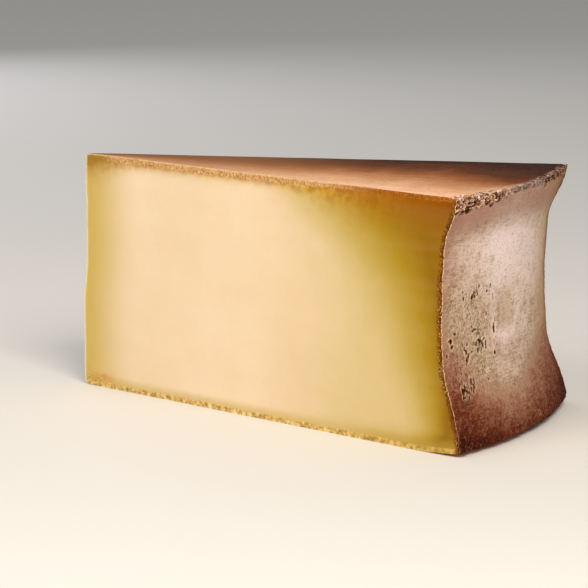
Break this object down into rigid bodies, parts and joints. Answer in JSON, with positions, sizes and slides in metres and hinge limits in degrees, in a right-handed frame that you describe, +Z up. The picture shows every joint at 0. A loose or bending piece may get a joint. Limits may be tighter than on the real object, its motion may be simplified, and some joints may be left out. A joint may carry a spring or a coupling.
{
  "type": "cheese wedge",
  "caption": "Tall wedge of hard pressed cheese cut from a large wheel as far as its centre, with flat cut faces, rind above and below, and a hollow rind-covered heel to one end.",
  "frame": {"origin": "on the ground under the middle of the wedge's bounding box", "axes": "+X from the edge at the wheel's centre towards the heel, along the line halfway between the cut faces; +Z up, from the underside to the top"},
  "size_m": [0.2906, 0.166, 0.1405],
  "materials": {
    "cheese": "satin, slightly moist cut faces under a dry pinkish-brown rind"
  },
  "bodies": {
    "root": {"cheese_wedge": "cheese"}
  },
  "joints": []
}
